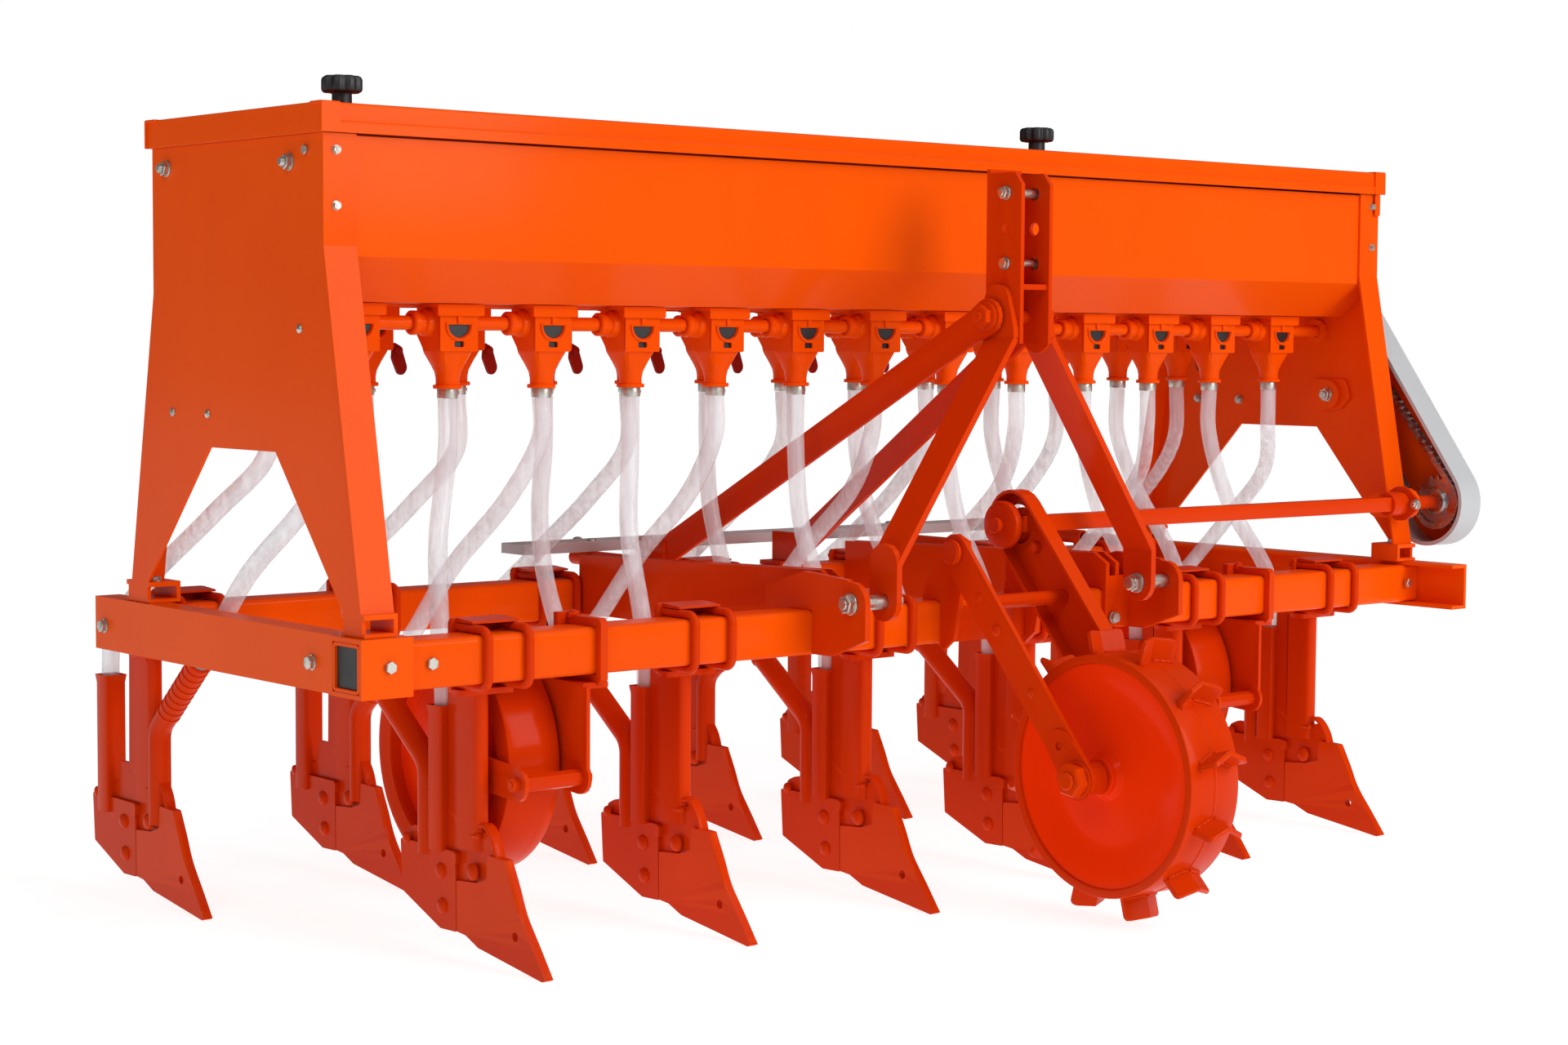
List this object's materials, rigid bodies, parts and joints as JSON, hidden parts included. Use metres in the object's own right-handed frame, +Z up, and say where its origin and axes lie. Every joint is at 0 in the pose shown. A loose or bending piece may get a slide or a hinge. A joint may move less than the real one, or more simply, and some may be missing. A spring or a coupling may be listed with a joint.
{
  "type": "seed drill",
  "caption": "Three-point mounted seed and fertiliser drill: tubular frame, furrow openers, trough hopper with metering rows, lugged ground wheel driving them by chain",
  "frame": {"origin": "on the ground, below the middle of the drill's bounding box", "axes": "+X along the working width, +Y to the rear, away from the tractor, +Z up"},
  "size_m": [2.258, 1.3806, 1.1873],
  "materials": {
    "orange_paint": "glossy orange enamel",
    "pale_paint": "pale grey enamel",
    "zinc": "bright zinc plate",
    "black_plastic": "moulded black grip",
    "clear_hose": "milky flexible tube"
  },
  "bodies": {
    "drill": {"front_bar": "orange_paint", "rear_bar": "orange_paint", "left_side_channel": "orange_paint", "right_side_channel": "orange_paint", "hopper_trough": "orange_paint", "left_end_plate": "orange_paint", "right_end_plate": "orange_paint", "hitch_mast": "orange_paint", "hitch_leg_left": "orange_paint", "hitch_leg_right": "orange_paint", "rear_brace_left": "orange_paint", "rear_brace_right": "orange_paint", "lower_hitch_left": "orange_paint", "lower_hitch_right": "orange_paint", "top_link_pin": "zinc", "lower_pin_left": "zinc", "lower_pin_right": "zinc", "seed_meter_row": "orange_paint", "fertiliser_meter_row": "orange_paint", "wheel_bracket": "orange_paint", "chain_cover": "pale_paint", "depth_fork_left": "orange_paint", "depth_fork_right": "orange_paint", "rear_footboard": "pale_paint", "front_opener_1": "orange_paint", "front_opener_2": "orange_paint", "front_opener_3": "orange_paint", "front_opener_4": "orange_paint", "front_opener_5": "orange_paint", "front_opener_6": "orange_paint", "rear_opener_1": "orange_paint", "rear_opener_2": "orange_paint", "rear_opener_3": "orange_paint", "rear_opener_4": "orange_paint", "rear_opener_5": "orange_paint", "rear_opener_6": "orange_paint", "rear_opener_7": "orange_paint", "seed_hose_1": "clear_hose", "seed_hose_2": "clear_hose", "seed_hose_3": "clear_hose", "seed_hose_4": "clear_hose", "seed_hose_5": "clear_hose", "seed_hose_6": "clear_hose", "seed_hose_7": "clear_hose", "seed_hose_8": "clear_hose", "seed_hose_9": "clear_hose", "seed_hose_10": "clear_hose", "seed_hose_11": "clear_hose", "seed_hose_12": "clear_hose", "seed_hose_13": "clear_hose"},
    "wheel_swing": {"wheel_frame": "orange_paint"},
    "drive_wheel": {"drive_wheel": "orange_paint"},
    "drive_shaft": {"drive_shaft": "orange_paint"},
    "seed_shaft": {"seed_feed_shaft": "zinc"},
    "fertiliser_shaft": {"fertiliser_feed_shaft": "zinc"},
    "lid": {"hopper_lid": "orange_paint", "lid_knob_left": "black_plastic", "lid_knob_right": "black_plastic"},
    "left_depth_wheel": {"depth_wheel_left": "orange_paint"},
    "right_depth_wheel": {"depth_wheel_right": "orange_paint"}
  },
  "joints": [
    {"name": "wheel_frame_swing", "type": "hinge", "parent": "drill", "child": "wheel_swing", "pos_m": [-0.035, -0.21975, 0.527], "axis": [-1, 0, 0], "range_deg": [0, 12]},
    {"name": "drive_wheel_spin", "type": "hinge", "parent": "wheel_swing", "child": "drive_wheel", "pos_m": [-0.035, -0.48275, 0.218], "axis": [1, 0, 0], "continuous": true},
    {"name": "drive_shaft_spin", "type": "hinge", "parent": "drill", "child": "drive_shaft", "pos_m": [0.525, -0.17775, 0.56], "axis": [1, 0, 0], "continuous": true},
    {"name": "seed_shaft_spin", "type": "hinge", "parent": "drill", "child": "seed_shaft", "pos_m": [-0.035, 0.05025, 0.862], "axis": [1, 0, 0], "continuous": true},
    {"name": "fertiliser_shaft_spin", "type": "hinge", "parent": "drill", "child": "fertiliser_shaft", "pos_m": [-0.035, 0.27025, 0.862], "axis": [1, 0, 0], "continuous": true},
    {"name": "lid_hinge", "type": "hinge", "parent": "drill", "child": "lid", "pos_m": [-0.035, 0.40925, 1.113], "axis": [-1, 0, 0], "range_deg": [0, 100]},
    {"name": "left_depth_wheel_spin", "type": "hinge", "parent": "drill", "child": "left_depth_wheel", "pos_m": [-0.827, 0.03125, 0.26], "axis": [1, 0, 0], "continuous": true},
    {"name": "right_depth_wheel_spin", "type": "hinge", "parent": "drill", "child": "right_depth_wheel", "pos_m": [0.56, 0.03125, 0.26], "axis": [1, 0, 0], "continuous": true}
  ],
  "couplings": [
    {"joint": "drive_shaft_spin", "follows": "drive_wheel_spin", "ratio": 1},
    {"joint": "seed_shaft_spin", "follows": "drive_wheel_spin", "ratio": 0.75},
    {"joint": "fertiliser_shaft_spin", "follows": "drive_wheel_spin", "ratio": 0.75}
  ]
}
